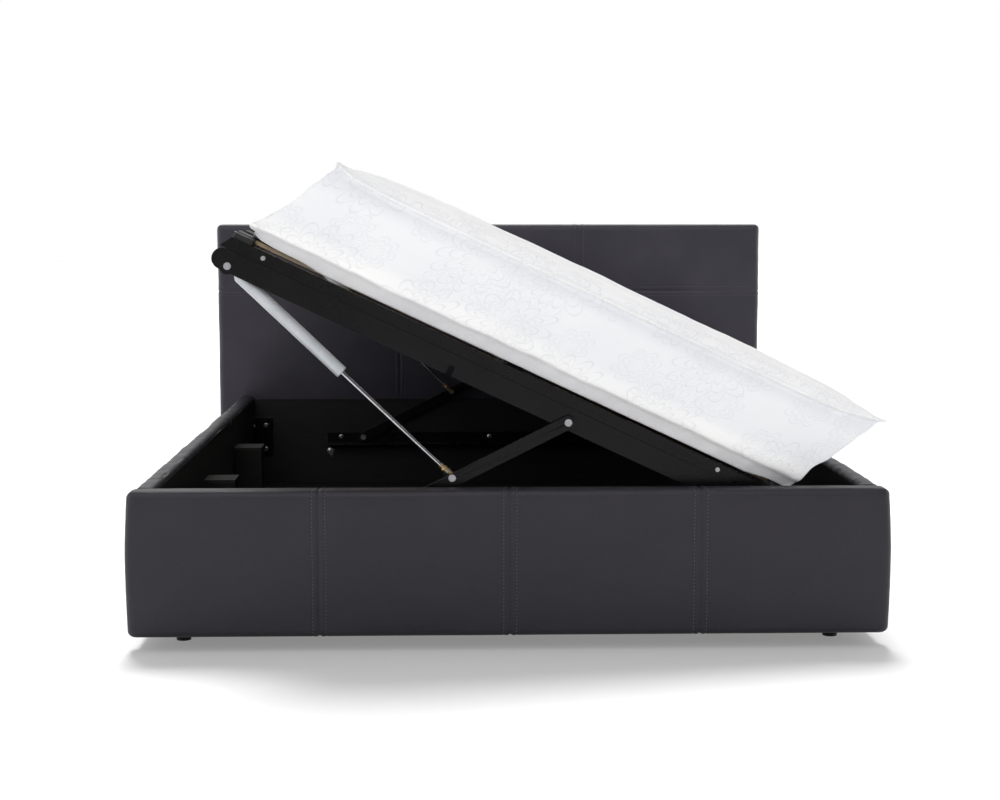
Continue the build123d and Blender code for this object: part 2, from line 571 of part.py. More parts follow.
def add_strip(side):
    """Flat strip with a slanted and a round end, screwed to the end tube's face."""
    end = PLATFORM_START + STRIP_LENGTH
    middle_v = (TUBE_HEIGHT + UPPER_RAIL_LIP) / 2
    round_radius = TUBE_HEIGHT - middle_v
    round_u = end - round_radius
    outline = make_face(Polyline((PLATFORM_START - STRIP_SLANT, UPPER_RAIL_LIP), (round_u, UPPER_RAIL_LIP),
                                 (round_u, TUBE_HEIGHT), (PLATFORM_START, TUBE_HEIGHT), close=True))
    outline += Pos(round_u, middle_v) * Circle(round_radius)
    screws = []
    for u in (PLATFORM_START + STRIP_SCREW_INSET, end - STRIP_SCREW_END_INSET):
        shank = pin((u, middle_v), SCREW_RADIUS, side, STRIP_OUTER, TUBE_OUTER)
        head = pin((u, middle_v), SCREW_HEAD_RADIUS, side, STRIP_OUTER - PIVOT_HEAD_HEIGHT, STRIP_OUTER)
        outline -= Pos(u, middle_v) * Circle(SCREW_RADIUS)
        screws.append(placed(shank + head))
    pieces[f"{side}_side_strip"] = placed(plate(outline, side, STRIP_OUTER, TUBE_OUTER))
    return screws


def tube(start, end, along):
    """Rectangular steel tube between two corners of its own box, along X or Y."""
    size = [end[i] - start[i] for i in range(3)]
    centre = [(start[i] + end[i]) / 2 for i in range(3)]
    outer = Rectangle(TUBE_WIDTH, TUBE_HEIGHT)
    inner = RectangleRounded(TUBE_WIDTH - 2 * TUBE_WALL, TUBE_HEIGHT - 2 * TUBE_WALL, TUBE_CORNER_RADIUS)
    plane = Plane.YZ if along == "x" else Plane.XZ
    run = size[0] if along == "x" else size[1]
    return Pos(*centre) * extrude(plane * (outer - inner), amount=run / 2, both=True)


def tube_rows():
    """The low U of the three lengthwise tubes: opening side, middle and far side."""
    last = PLATFORM_START + PLATFORM_WIDTH - TUBE_WIDTH
    return PLATFORM_START, (PLATFORM_START + last) / 2, last


def add_platform_frame():
    """Welded tube frame: two end tubes, two side tubes and one down the middle."""
    end = PLATFORM_START + PLATFORM_WIDTH
    for side in SIDES:
        y = depths(side, TUBE_OUTER, TUBE_INNER)
        pieces[f"platform_{side}_tube"] = placed(tube((PLATFORM_START, y[0], 0), (end, y[1], TUBE_HEIGHT), "x"))
    y = (NEAR_WALL + TUBE_INNER, FAR_WALL - TUBE_INNER)
    for name, u in zip(("left", "centre", "right"), tube_rows()):
        pieces[f"platform_{name}_tube"] = placed(tube((u, y[0], 0), (u + TUBE_WIDTH, y[1], TUBE_HEIGHT), "y"))
    tabs = []
    for start in REST_BLOCK_STARTS:
        low = FOOT_FACE + start + (REST_BLOCK_LENGTH - REST_TAB_WIDTH) / 2
        tabs.append(placed(block((PLATFORM_START - REST_TAB_REACH, PLATFORM_START + TUBE_WIDTH),
                                 (low, low + REST_TAB_WIDTH), (-REST_TAB_THICKNESS, 0))))
    pieces["rest_tabs"] = group(tabs)
    caps = []
    for u in (PLATFORM_START, end - CORNER_CAP_SIZE):
        for side in SIDES:
            cap = block((u, u + CORNER_CAP_SIZE), depths(side, TUBE_OUTER, TUBE_OUTER + CORNER_CAP_SIZE),
                        (TUBE_HEIGHT, TUBE_HEIGHT + CORNER_CAP_HEIGHT))
            caps.append(placed(fillet(cap.edges().filter_by(Axis.Z), CORNER_CAP_HEIGHT / 2)))
    pieces["corner_caps"] = group(caps)


def add_slats():
    """Two rows of wooden slats, their ends gripped by holders on the lengthwise tubes."""
    left, centre, right = (u + TUBE_WIDTH / 2 for u in tube_rows())
    bottom = TUBE_HEIGHT + HOLDER_FLOOR
    first = NEAR_WALL + TUBE_OUTER + CORNER_CAP_SIZE + HOLDER_WIDTH / 2 + 2 * HOLDER_CLEARANCE
    last = FAR_WALL - (first - NEAR_WALL)
    pitch = (last - first) / (SLATS_PER_ROW - 1)
    inset = TUBE_WIDTH / 2 - SLAT_GRIP + HOLDER_DEPTH - TUBE_WIDTH
    slats, holders = [], []
    centres = [first + pitch * index for index in range(SLATS_PER_ROW)]
    spans = ((left - inset, centre - HOLDER_CLEARANCE), (centre + HOLDER_CLEARANCE, right + inset))
    for low, high in spans:
        row = []
        for y in centres:
            slat = block((low, high), (y - SLAT_WIDTH / 2, y + SLAT_WIDTH / 2), (bottom, bottom + SLAT_THICKNESS))
            slat = fillet(slat.edges().filter_by(Axis.X), SLAT_EDGE_RADIUS)
            row.append(slat)
        slats.append(row)
    for u in (left - TUBE_WIDTH / 2, centre - HOLDER_DEPTH / 2, right + TUBE_WIDTH / 2 - HOLDER_DEPTH):
        for y in centres:
            shell = block((u, u + HOLDER_DEPTH), (y - HOLDER_WIDTH / 2, y + HOLDER_WIDTH / 2),
                          (TUBE_HEIGHT, TUBE_HEIGHT + HOLDER_HEIGHT))
            upper = shell.edges().filter_by(Axis.X).filter_by(lambda e: e.center().Z > TUBE_HEIGHT + 1)
            shell = fillet(upper, SLAT_EDGE_RADIUS)
            for low, high in spans:
                shell -= block((low - HOLDER_CLEARANCE, high + HOLDER_CLEARANCE),
                               (y - SLAT_WIDTH / 2 - HOLDER_CLEARANCE, y + SLAT_WIDTH / 2 + HOLDER_CLEARANCE),
                               (bottom, bottom + SLAT_THICKNESS + HOLDER_CLEARANCE))
            holders.append(placed(shell))
    for name, row in zip(("left", "right"), slats):
        pieces[f"{name}_slats"] = group(placed(slat) for slat in row)
    pieces["slat_holders"] = group(holders)


def mattress_section(y, draw, drop):
    """One cross-section of the mattress: flat below, drawn in at the sides, crowned on top."""
    low = TUBE_HEIGHT + HOLDER_HEIGHT + REST_GAP
    high = low + MATTRESS_THICKNESS - drop
    left = PLATFORM_START + MATTRESS_SIDE_INSET + draw
    right = PLATFORM_START + MATTRESS_SIDE_INSET + MATTRESS_WIDTH - draw
    lean = MATTRESS_LEAN
    middle = (low + high) / 2
    corners = [(left, low), (right, low), (right + lean, high), (left + lean, high)]
    bottom = Line(corners[0], corners[1])
    right_side = ThreePointArc(corners[1], (right + lean / 2 - MATTRESS_DRAW_IN, middle), corners[2])
    top = ThreePointArc(corners[2], ((left + right) / 2 + lean, high + MATTRESS_CROWN), corners[3])
    left_side = ThreePointArc(corners[3], (left + lean / 2 + MATTRESS_DRAW_IN, middle), corners[0])
    return Pos(0, y, 0) * (Plane.XZ * make_face(bottom + right_side + top + left_side))


def add_mattress():
    """Mattress that has slumped towards the low side of the tilted platform."""
    start = NEAR_WALL + MATTRESS_END_GAP
    length = FAR_WALL - MATTRESS_END_GAP - start
    shoulder, softness = MATTRESS_SHOULDER, MATTRESS_SHOULDER_DROP
    stations = ((0, 1), (shoulder, softness), (0.5, 0), (1 - shoulder, softness), (1, 1))
    sections = [mattress_section(start + length * share, MATTRESS_DRAW_IN * sag, MATTRESS_END_DROP * sag)
                for share, sag in stations]
    pieces["mattress"] = placed(loft(sections))


def build():
    corner_bolts = [bolt(axis, seat) for axis, seat in bracket_bolt_places()]
    rail_bolts = [bolt(axis, seat) for side in SIDES for axis, seat in base_rail_bolt_places(side)]
    head_bolts = headboard_bolts()
    bolts = corner_bolts + rail_bolts + head_bolts
    add_foot_panel(bolts)
    add_side_rail("left", -1, corner_bolts)
    add_side_rail("right", 1, corner_bolts)
    add_headboard(bolts)
    add_storage_floor()
    add_rest_blocks()
    add_corner_brackets(corner_bolts)
    pieces["corner_bolts"] = group(corner_bolts)
    pieces["base_rail_bolts"] = group(rail_bolts)
    pieces["headboard_bolts"] = group(head_bolts)
    base_pins, base_spacers, strut_bolts, strut_washers, strip_screws = [], [], [], [], []
    for side in SIDES:
        pins, spacers = add_base_rail(side, rail_bolts)
        base_pins += pins
        base_spacers += spacers
        add_arm(side)
        add_link(side)
        add_strut(side)
        bolt_and_stud, washer = add_upper_rail(side)
        strut_bolts.append(bolt_and_stud)
        strut_washers.append(washer)
        strip_screws += add_strip(side)
    pieces["base_pins"] = group(base_pins)
    pieces["base_spacers"] = group(base_spacers)
    pieces["strut_bolts"] = group(strut_bolts)
    pieces["strut_washers"] = group(strut_washers)
    pieces["strip_screws"] = group(strip_screws)
    add_platform_frame()
    add_slats()
    add_mattress()


build()
os.makedirs("parts", exist_ok=True)
for node, shape in pieces.items():
    export_step(shape, f"parts/{node}.step")
for name, value in joint_values().items():
    print(name, value)
print("link length", math.dist(LINK_FOOT, LINK_TOP), "nodes", len(pieces))
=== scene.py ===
import json
import math

import bmesh
import bpy
import numpy as np
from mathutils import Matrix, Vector, noise


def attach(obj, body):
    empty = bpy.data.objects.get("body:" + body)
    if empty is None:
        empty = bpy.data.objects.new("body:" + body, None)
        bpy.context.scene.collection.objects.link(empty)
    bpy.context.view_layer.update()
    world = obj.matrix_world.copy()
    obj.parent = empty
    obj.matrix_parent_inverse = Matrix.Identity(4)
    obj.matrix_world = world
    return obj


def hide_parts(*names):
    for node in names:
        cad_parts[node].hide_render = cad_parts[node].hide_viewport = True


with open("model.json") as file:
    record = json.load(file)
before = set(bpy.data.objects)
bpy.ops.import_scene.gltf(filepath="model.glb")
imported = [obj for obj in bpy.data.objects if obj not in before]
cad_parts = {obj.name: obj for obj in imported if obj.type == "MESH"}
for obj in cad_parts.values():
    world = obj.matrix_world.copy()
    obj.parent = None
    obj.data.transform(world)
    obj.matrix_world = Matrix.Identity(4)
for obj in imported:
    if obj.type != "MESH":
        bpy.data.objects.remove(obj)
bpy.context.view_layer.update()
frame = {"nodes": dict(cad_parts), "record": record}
NODES = frame["nodes"]

# Sizes in metres: X to the right seen from the foot, Y towards the headboard, Z up from the floor
FOOT_FACE = -1.035
PANEL_BACK = -0.9785
NEAR_WALL = -0.977
HEADBOARD_FACE = 0.955
HEADBOARD_LINING = 1.0345
FLOOR_GAP = 0.031
RIM = 0.350
HEADBOARD_TOP = 0.906
FOOT_HALF = 0.823
RAIL_OUTER = 0.811
RAIL_LINING = 0.7685
HEADBOARD_HALF = 0.882
FOOT_SEAMS = (-0.411, 0.0, 0.411)
HEADBOARD_SEAMS = (-0.2925, 0.2925)
HEADBOARD_SEAM_HEIGHT = 0.690

# The platform's own frame (X and Z of its origin, tilt) and the mattress's place in it
PLATFORM_ORIGIN = (-0.59282, 0.85274)
PLATFORM_TILT = math.radians(25.13)
MATTRESS_LEFT = 0.009
MATTRESS_WIDTH = 1.306
MATTRESS_LENGTH = 1.890
MATTRESS_NEAR = -0.965
MATTRESS_BOTTOM = 0.0463
MATTRESS_THICKNESS = 0.225
MATTRESS_LEAN = 0.118

# Rounding of the covers' edges (across, along, up), and their seams
MM = 0.001
FOOT_ROUND = (18 * MM, 13 * MM, 14 * MM)
RAIL_ROUND = (18 * MM, 4 * MM, 10 * MM)
HEADBOARD_ROUND = (17 * MM, 17 * MM, 15 * MM)
STITCH_OFFSET = 14 * MM
SEAM_REACH = 24 * MM
HEADBOARD_SEAM_STRENGTH = 0.55
RAIL_END = 30 * MM

# How far the slack mattress moves: crown, top edge, pulled corners, sagging ends, lower near left corner
CROWN_RISE = 23 * MM
TOP_EDGE_DROP = 13 * MM
CORNER_LIFT = 22 * MM
END_SAG = 6.5 * MM
LOW_CORNER_LIFT = 15 * MM


# Grids, noise and meshes

def lines(low, high, step, fine_step=None, places=(), reach=0.0):
    """Grid lines from low to high, closer together near the places given."""
    made = [low]
    while made[-1] < high:
        near = any(abs(made[-1] - place) <= reach for place in places)
        made.append(made[-1] + (fine_step if near else step))
    stretch = (high - low) / (made[-1] - low)
    return [low + (value - low) * stretch for value in made]


def box_grid(xs, ys, zs):
    """Points and quads of a box's surface with grid lines at these places, and each quad's side."""
    index, points, faces, sides = {}, [], [], []

    def at(i, j, k):
        key = (i, j, k)
        if key not in index:
            index[key] = len(points)
            points.append((xs[i], ys[j], zs[k]))
        return index[key]

    nx, ny, nz = len(xs) - 1, len(ys) - 1, len(zs) - 1
    for i in range(nx):
        for j in range(ny):
            faces.append((at(i, j, 0), at(i, j + 1, 0), at(i + 1, j + 1, 0), at(i + 1, j, 0)))
            faces.append((at(i, j, nz), at(i + 1, j, nz), at(i + 1, j + 1, nz), at(i, j + 1, nz)))
            sides += ["z", "z"]
    for i in range(nx):
        for k in range(nz):
            faces.append((at(i, 0, k), at(i + 1, 0, k), at(i + 1, 0, k + 1), at(i, 0, k + 1)))
            faces.append((at(i, ny, k), at(i, ny, k + 1), at(i + 1, ny, k + 1), at(i + 1, ny, k)))
            sides += ["y", "y"]
    for j in range(ny):
        for k in range(nz):
            faces.append((at(0, j, k), at(0, j, k + 1), at(0, j + 1, k + 1), at(0, j + 1, k)))
            faces.append((at(nx, j, k), at(nx, j + 1, k), at(nx, j + 1, k + 1), at(nx, j, k + 1)))
            sides += ["x", "x"]
    return np.array(points), faces, sides


def ripple(points, size, seed, stretch=(1.0, 1.0, 1.0)):
    """Smooth noise from -1 to 1 at each point, with features of this size."""
    scaled = points / (size * np.array(stretch)) + 17.3 * seed
    return np.array([noise.noise(Vector(p)) for p in scaled])


def bell(distance, width):
    return np.exp(-(distance / width) ** 2)


def smooth_step(value, low, high):
    t = np.clip((value - low) / (high - low), 0, 1)
    return t * t * (3 - 2 * t)


def build_mesh(name, points, faces, material, body):
    """A smooth-shaded piece made of these faces, on its body and in its material slot."""
    mesh = bpy.data.meshes.new(name)
    mesh.from_pydata([tuple(p) for p in points], [], faces)
    mesh.update()
    made = bpy.data.objects.new(name, mesh)
    bpy.context.scene.collection.objects.link(made)
    mesh.materials.append(material)
    mesh.polygons.foreach_set("use_smooth", [True] * len(mesh.polygons))
    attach(made, body)
    return made


def rounded(points, low, high, radii):
    """A box's points moved onto the same box with round edges, and their outward directions."""
    low, high, radii = np.array(low), np.array(high), np.array(radii)
    core = np.clip(points, low + radii, high - radii)
    away = (points - core) / radii
    reach = np.abs(away).max(axis=1, keepdims=True)
    length = np.maximum(np.linalg.norm(away, axis=1, keepdims=True), 1e-9)
    outward = away / length
    return core + outward * reach * radii, outward


# Node materials

def add(tree, kind, sockets=None, **settings):
    """A shader node with its settings, its values and its links."""
    made = tree.nodes.new(kind)
    for key, value in settings.items():
        setattr(made, key, value)
    for name, value in (sockets or {}).items():
        if isinstance(value, bpy.types.NodeSocket):
            tree.links.new(value, made.inputs[name])
        else:
            made.inputs[name].default_value = value
    return made


def rgb(red, green, blue):
    return (red, green, blue, 1.0)


def start_material(name):
    made = bpy.data.materials.new(name)
    made.use_nodes = True
    tree = made.node_tree
    shader = tree.nodes["Principled BSDF"]
    place = add(tree, "ShaderNodeTexCoord").outputs["Object"]
    return made, tree, shader, place


def texture(tree, place, scale, detail=3.0, rough=0.55, stretch=None):
    """Noise from 0 to 1 on the object's own coordinates."""
    if stretch:
        place = add(tree, "ShaderNodeMapping", {"Vector": place, "Scale": stretch}).outputs["Vector"]
    return add(tree, "ShaderNodeTexNoise", {"Vector": place, "Scale": scale, "Detail": detail,
                                            "Roughness": rough}).outputs["Fac"]


def ramp(tree, value, stops):
    """A colour ramp from (place, colour) stops."""
    made = add(tree, "ShaderNodeValToRGB", {"Fac": value})
    elements = made.color_ramp.elements
    elements[0].position, elements[0].color = stops[0]
    elements[1].position, elements[1].color = stops[-1]
    for position, colour in stops[1:-1]:
        element = elements.new(position)
        element.color = colour
    return made.outputs["Color"]


def span(tree, value, low, high, from_low=0.0, from_high=1.0):
    """A value between from_low and from_high carried to between low and high."""
    return add(tree, "ShaderNodeMapRange", {"Value": value, "From Min": from_low, "From Max": from_high,
                                            "To Min": low, "To Max": high}).outputs["Result"]


def math_node(tree, operation, *values):
    return add(tree, "ShaderNodeMath", dict(enumerate(values)), operation=operation).outputs[0]


def mix(tree, factor, first, second, blend="MIX"):
    """Two colours mixed. 6, 7 and 2 are the numbers of the node's colour sockets."""
    made = add(tree, "ShaderNodeMix", {0: factor, 6: first, 7: second}, data_type="RGBA", blend_type=blend)
    return made.outputs[2]


def waves(tree, place, scale, distortion, axis="X"):
    """Bands from 0 to 1 that follow each other along an axis."""
    return add(tree, "ShaderNodeTexWave", {"Vector": place, "Scale": scale, "Distortion": distortion},
               bands_direction=axis).outputs["Fac"]


def bump(tree, height, distance, strength=1.0, normal=None):
    sockets = {"Height": height, "Distance": distance, "Strength": strength}
    if normal:
        sockets["Normal"] = normal
    return add(tree, "ShaderNodeBump", sockets).outputs["Normal"]


def connect(tree, shader, **inputs):
    names = {"color": "Base Color", "rough": "Roughness", "normal": "Normal", "metal": "Metallic",
             "specular": "Specular IOR Level", "sheen": "Sheen Weight"}
    for key, value in inputs.items():
        socket = shader.inputs[names[key]]
        if isinstance(value, bpy.types.NodeSocket):
            tree.links.new(value, socket)
        else:
            socket.default_value = value


def leather_material(name, gain):
    """Black faux leather: pebbled grain, fine creases, soft changes of sheen. Its colours are scaled by gain,
    which on the headboard paints light onto the same leather.
    """
    made, tree, shader, place = start_material(name)
    broad = texture(tree, place, 7.0, 4.0)
    fine = texture(tree, place, 220.0, 2.0)
    tones = ((0.25, (0.0125, 0.0112, 0.0165)), (0.55, (0.0160, 0.0142, 0.0205)),
             (0.85, (0.0225, 0.0198, 0.0265)))
    colour = ramp(tree, broad, [(stop, rgb(*(gain * part for part in tone))) for stop, tone in tones])
    colour = mix(tree, span(tree, fine, 0.0, 0.35), colour, rgb(0.034, 0.032, 0.036))
    pebbles = add(tree, "ShaderNodeTexVoronoi", {"Vector": place, "Scale": 620.0}, feature="SMOOTH_F1")
    creases = texture(tree, place, 38.0, 6.0, 0.7, (1.0, 1.0, 0.6))
    grain = bump(tree, pebbles.outputs["Distance"], 0.0004, 0.35)
    normal = bump(tree, creases, 0.0016, 0.35, grain)
    connect(tree, shader, color=colour, rough=span(tree, broad, 0.38, 0.52), normal=normal, specular=0.30)
    return made


def thread_material():
    """Twisted dark grey thread."""
    made, tree, shader, place = start_material("thread")
    twist = waves(tree, place, 380.0, 1.0)
    colour = ramp(tree, twist, [(0.0, rgb(0.045, 0.044, 0.049)), (1.0, rgb(0.105, 0.102, 0.112))])
    connect(tree, shader, color=colour, rough=span(tree, twist, 0.55, 0.7),
            normal=bump(tree, twist, 0.0004, 0.6))
    return made


def lining_material():
    """Matt black non-woven lining with fibres and dust."""
    made, tree, shader, place = start_material("black lining")
    fibres = texture(tree, place, 900.0, 3.0, 0.7, (1.0, 0.3, 1.0))
    broad = texture(tree, place, 9.0, 4.0)
    colour = ramp(tree, broad, [(0.3, rgb(0.0042, 0.0040, 0.0042)), (0.8, rgb(0.0085, 0.0078, 0.0080))])
    colour = mix(tree, span(tree, fibres, 0.0, 0.3), colour, rgb(0.016, 0.015, 0.015))
    connect(tree, shader, color=colour, rough=span(tree, fibres, 0.8, 0.95),
            normal=bump(tree, fibres, 0.0005, 0.4), specular=0.2)
    return made


def panel_material():
    """Black laminate board with a faint grain and handling marks."""
    made, tree, shader, place = start_material("dark panel")
    grain = texture(tree, place, 14.0, 6.0, 0.6, (1.0, 9.0, 9.0))
    marks = texture(tree, place, 5.0, 5.0, 0.7)
    colour = ramp(tree, grain, [(0.3, rgb(0.0045, 0.0043, 0.0044)), (0.75, rgb(0.0090, 0.0084, 0.0084))])
    connect(tree, shader, color=colour, rough=span(tree, marks, 0.45, 0.75),
            normal=bump(tree, grain, 0.0005, 0.3), specular=0.25)
    return made


def steel_material():
    """Satin black paint: orange peel, dust specks, fine rubbed scratches."""
    made, tree, shader, place = start_material("black paint")
    peel = texture(tree, place, 420.0, 2.0)
    dust = texture(tree, place, 900.0, 2.0, 0.5)
    broad = texture(tree, place, 11.0, 5.0, 0.65)
    scratches = texture(tree, place, 160.0, 3.0, 0.6, (0.12, 1.0, 1.0))
    specks = span(tree, dust, 0.0, 1.0, 0.70, 0.78)
    colour = ramp(tree, broad, [(0.3, rgb(0.0022, 0.0022, 0.0026)), (0.75, rgb(0.0050, 0.0049, 0.0055))])
    colour = mix(tree, specks, colour, rgb(0.06, 0.06, 0.06))
    rough = math_node(tree, "ADD", span(tree, broad, 0.20, 0.36), span(tree, scratches, 0.0, 0.16, 0.62, 0.8))
    normal = bump(tree, peel, 0.0003, 0.25)
    connect(tree, shader, color=colour, rough=rough, normal=bump(tree, scratches, 0.0002, 0.2, normal),
            specular=0.15)
    return made


def bright_metal(name, dark, light, low, high, scale, stretch=None):
    """Bare or plated metal with a brushed or turned grain and tarnish."""
    made, tree, shader, place = start_material(name)
    grain = texture(tree, place, scale, 3.0, 0.6, stretch)
    tarnish = texture(tree, place, 45.0, 5.0, 0.65)
    colour = mix(tree, span(tree, tarnish, 0.0, 1.0, 0.35, 0.75), light, dark)
    connect(tree, shader, color=colour, metal=1.0, rough=span(tree, grain, low, high),
            normal=bump(tree, grain, 0.0002, 0.25))
    return made


def cylinder_material():
    """Pale grey satin paint on the gas struts, with faint scuffs along the tube."""
    made, tree, shader, place = start_material("grey cylinder")
    scuffs = texture(tree, place, 90.0, 5.0, 0.7)
    broad = texture(tree, place, 16.0, 3.0)
    colour = ramp(tree, broad, [(0.2, rgb(0.36, 0.38, 0.40)), (0.8, rgb(0.48, 0.50, 0.52))])
    colour = mix(tree, span(tree, scuffs, 0.0, 0.5, 0.55, 0.8), colour, rgb(0.62, 0.63, 0.68))
    connect(tree, shader, color=colour, metal=0.25, rough=span(tree, scuffs, 0.28, 0.45),
            normal=bump(tree, scuffs, 0.0003, 0.2))
    return made


def wood_material(name, dark, light, stretch, scale=9.0):
    """Plain timber: long grain lines, pores and uneven tone."""
    made, tree, shader, place = start_material(name)
    grain = texture(tree, place, scale, 8.0, 0.62, stretch)
    pores = texture(tree, place, scale * 30, 2.0, 0.6, stretch)
    colour = ramp(tree, grain, [(0.25, dark), (0.5, light), (0.62, dark), (0.9, light)])
    colour = mix(tree, span(tree, pores, 0.0, 0.45, 0.6, 0.8), colour, dark)
    connect(tree, shader, color=colour, rough=span(tree, grain, 0.5, 0.72),
            normal=bump(tree, pores, 0.0004, 0.35))
    return made


def plastic_material(name, dark, light, rough_low, rough_high):
    """Moulded plastic or rubber with a fine grain and an uneven sheen."""
    made, tree, shader, place = start_material(name)
    grain = texture(tree, place, 1100.0, 2.0)
    broad = texture(tree, place, 24.0, 4.0)
    colour = ramp(tree, broad, [(0.3, dark), (0.8, light)])
    connect(tree, shader, color=colour, rough=span(tree, broad, rough_low, rough_high),
            normal=bump(tree, grain, 0.0003, 0.4), specular=0.3)
    return made


def flower_lines(tree, place, scale, petals, seed, size):
    """Faint outlines of many-petalled flowers, one in each cell of a loose net. 1 on a line, else 0."""

    def calc(operation, *values):
        return math_node(tree, operation, *values)

    moved = add(tree, "ShaderNodeMapping",
                {"Vector": place, "Location": (seed, seed * 0.7, 0.0)}).outputs["Vector"]
    wobble = add(tree, "ShaderNodeTexNoise", {"Vector": moved, "Scale": 9.0, "Detail": 1.0})
    offset = add(tree, "ShaderNodeVectorMath", {0: wobble.outputs["Color"], 1: (0.012, 0.012, 0.0)},
                 operation="MULTIPLY").outputs["Vector"]
    moved = add(tree, "ShaderNodeVectorMath", {0: moved, 1: offset}, operation="ADD").outputs["Vector"]
    cells = add(tree, "ShaderNodeTexVoronoi", {"Vector": moved, "Scale": scale, "Randomness": 0.55},
                voronoi_dimensions="2D")
    away = add(tree, "ShaderNodeVectorMath", {0: moved, 1: cells.outputs["Position"]}, operation="SUBTRACT")
    parts = add(tree, "ShaderNodeSeparateXYZ", {"Vector": away.outputs["Vector"]})
    across, along = parts.outputs["X"], parts.outputs["Y"]
    turn = add(tree, "ShaderNodeSeparateColor", {"Color": cells.outputs["Color"]}).outputs["Red"]
    angle = calc("ADD", calc("ARCTAN2", along, across), calc("MULTIPLY", turn, 6.0))
    radius = calc("SQRT", calc("ADD", calc("POWER", across, 2.0), calc("POWER", along, 2.0)))
    wave = calc("ABSOLUTE", calc("SINE", calc("MULTIPLY", angle, petals / 2)))
    found = None
    for share, pinch, width in ((1.0, 0.55, 0.0017), (0.74, 0.60, 0.0015), (0.46, 0.50, 0.0014)):
        petal = calc("ADD", calc("MULTIPLY", calc("POWER", wave, 0.6), 1 - pinch), pinch)
        gap = calc("ABSOLUTE", calc("SUBTRACT", radius, calc("MULTIPLY", petal, size * share)))
        line = span(tree, gap, 1.0, 0.0, width * 0.4, width * 1.6)
        found = line if found is None else calc("MAXIMUM", found, line)
    rays = calc("ABSOLUTE", calc("SINE", calc("MULTIPLY", angle, petals)))
    rays = span(tree, rays, 0.8, 0.0, 0.0, 0.14)
    inner = span(tree, radius, 1.0, 0.0, size * 0.7, size * 0.95)
    return calc("MAXIMUM", found, calc("MULTIPLY", rays, inner))


def mattress_material():
    """Off-white knitted ticking with a tone-on-tone flower pattern, and painted shade along the border's
    height.
    """
    made, tree, shader, place = start_material("mattress fabric")
    flat = add(tree, "ShaderNodeUVMap", uv_map="cloth").outputs["UV"]
    large = flower_lines(tree, flat, 4.7, 13.0, 3.1, 0.092)
    small = flower_lines(tree, flat, 8.6, 8.0, 8.4, 0.044)
    pattern = math_node(tree, "MAXIMUM", large, math_node(tree, "MULTIPLY", small, 0.6))
    knit = math_node(tree, "MULTIPLY", waves(tree, flat, 420.0, 0.6), waves(tree, flat, 420.0, 0.6, "Y"))
    broad = texture(tree, place, 4.0, 3.0)
    colour = ramp(tree, broad, [(0.3, rgb(0.810, 0.808, 0.812)), (0.7, rgb(0.850, 0.845, 0.842))])
    height = add(tree, "ShaderNodeSeparateXYZ", {"Vector": flat}).outputs["Y"]
    wavy = math_node(tree, "ADD", height, span(tree, texture(tree, place, 14.0), -0.006, 0.006))
    # Painted shade by height: darker at the bottom, in the hollow under the lower roll and below the top
    # seam; lighter where the rolls catch light
    painted_border_shade = ramp(tree, span(tree, wavy, 0.0, 1.0, 0.0, MATTRESS_THICKNESS),
                 [(0.0, rgb(0.60, 0.60, 0.61)), (0.10, rgb(0.72, 0.72, 0.72)),
                  (0.125, rgb(1.0, 1.0, 0.985)), (0.22, rgb(1.0, 1.0, 0.99)), (0.32, rgb(0.93, 0.935, 0.95)),
                  (0.70, rgb(0.94, 0.945, 0.955)), (0.83, rgb(0.84, 0.85, 0.88)),
                  (0.88, rgb(0.90, 0.905, 0.92)), (0.91, rgb(1.0, 1.0, 1.0))])
    colour = mix(tree, 1.0, colour, painted_border_shade, "MULTIPLY")
    colour = mix(tree, math_node(tree, "MULTIPLY", pattern, 0.38), colour, rgb(0.56, 0.57, 0.61))
    creases = texture(tree, place, 26.0, 5.0, 0.6)
    normal = bump(tree, knit, 0.0003, 0.3)
    normal = bump(tree, creases, 0.0040, 0.35, normal)
    normal = bump(tree, pattern, -0.0010, 0.35, normal)
    connect(tree, shader, color=colour, rough=span(tree, creases, 0.75, 0.9), normal=normal,
            specular=0.25, sheen=0.15)
    return made


LEATHER = leather_material("black leather", 0.85)
# The headboard gets the same leather with its colour painted lighter, a painted highlight for the brighter
# light it shows
HEADBOARD_LEATHER_PAINTED_LIGHTER = leather_material("headboard leather painted lighter", 1.9)
THREAD = thread_material()
LINING = lining_material()
PANEL = panel_material()
STEEL = steel_material()
ZINC = bright_metal("zinc plate", rgb(0.20, 0.20, 0.22), rgb(0.46, 0.46, 0.48), 0.22, 0.42, 300.0)
CHROME = bright_metal("chrome", rgb(0.30, 0.31, 0.33), rgb(0.52, 0.53, 0.55), 0.05, 0.16, 240.0,
                      (0.2, 1.0, 0.2))
BRASS = bright_metal("brass", rgb(0.22, 0.16, 0.08), rgb(0.46, 0.36, 0.20), 0.22, 0.42, 500.0)
CYLINDER = cylinder_material()
TIMBER = wood_material("board timber", rgb(0.30, 0.20, 0.11), rgb(0.48, 0.35, 0.21), (1.0, 6.0, 6.0))
SLAT = wood_material("slat wood", rgb(0.42, 0.30, 0.17), rgb(0.66, 0.51, 0.33), (1.0, 12.0, 12.0), 7.0)
PLASTIC = plastic_material("black plastic", rgb(0.006, 0.006, 0.006), rgb(0.014, 0.014, 0.014), 0.45, 0.65)
RUBBER = plastic_material("rubber", rgb(0.008, 0.008, 0.008), rgb(0.020, 0.019, 0.018), 0.75, 0.9)
MATTRESS = mattress_material()

SLOT_MATERIALS = {
    "black_leather": LEATHER, "timber_board": TIMBER, "dark_panel": PANEL, "black_lining": LINING,
    "black_steel": STEEL, "zinc_steel": ZINC, "chrome_rod": CHROME, "grey_cylinder": CYLINDER,
    "brass": BRASS, "slat_wood": SLAT, "black_plastic": PLASTIC, "rubber": RUBBER,
    "mattress_fabric": MATTRESS,
}


